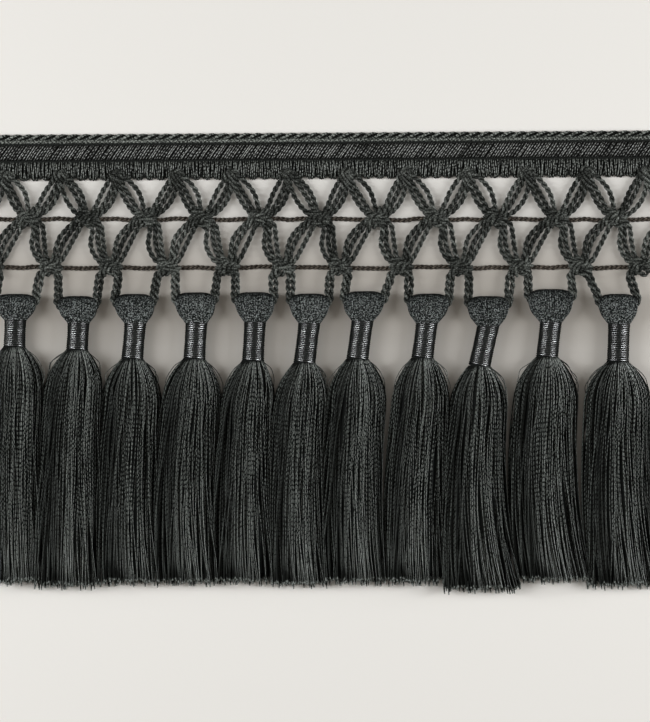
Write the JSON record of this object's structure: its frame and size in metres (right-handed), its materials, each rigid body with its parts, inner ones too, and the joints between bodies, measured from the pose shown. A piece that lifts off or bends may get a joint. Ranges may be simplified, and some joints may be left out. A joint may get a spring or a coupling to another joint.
{
  "type": "tassel fringe trim",
  "caption": "Length of fringe trim: a scalloped woven heading, a knotted open netting on two row cords, and a row of long tassels with bound necks.",
  "frame": {"origin": "centre of the trim's length and depth, on the surface that it lies on", "axes": "+X along the trim to the right as seen from its face, +Y from the hem of the tassels up to the heading, +Z out of the face, off the surface"},
  "size_m": [0.2372, 0.1501, 0.0092],
  "materials": {
    "heading_yarn": "dark charcoal green rayon yarn, woven, with a soft sheen",
    "netting_yarn": "dark charcoal green rayon cord, twisted, with a soft sheen",
    "row_cord_yarn": "thin brown-black twisted cord, matt",
    "tassel_yarn": "dark charcoal green twisted yarn, cut ends, soft sheen",
    "binding_yarn": "fine dark thread, whipped close, satin"
  },
  "bodies": {
    "root": {"heading": "heading_yarn", "netting": "netting_yarn", "upper_row_cord": "row_cord_yarn", "lower_row_cord": "row_cord_yarn", "tassel_01": "tassel_yarn", "tassel_02": "tassel_yarn", "tassel_03": "tassel_yarn", "tassel_04": "tassel_yarn", "tassel_05": "tassel_yarn", "tassel_06": "tassel_yarn", "tassel_07": "tassel_yarn", "tassel_08": "tassel_yarn", "tassel_09": "tassel_yarn", "tassel_10": "tassel_yarn", "tassel_11": "tassel_yarn", "binding_01": "binding_yarn", "binding_02": "binding_yarn", "binding_03": "binding_yarn", "binding_04": "binding_yarn", "binding_05": "binding_yarn", "binding_06": "binding_yarn", "binding_07": "binding_yarn", "binding_08": "binding_yarn", "binding_09": "binding_yarn", "binding_10": "binding_yarn", "binding_11": "binding_yarn"}
  },
  "joints": []
}
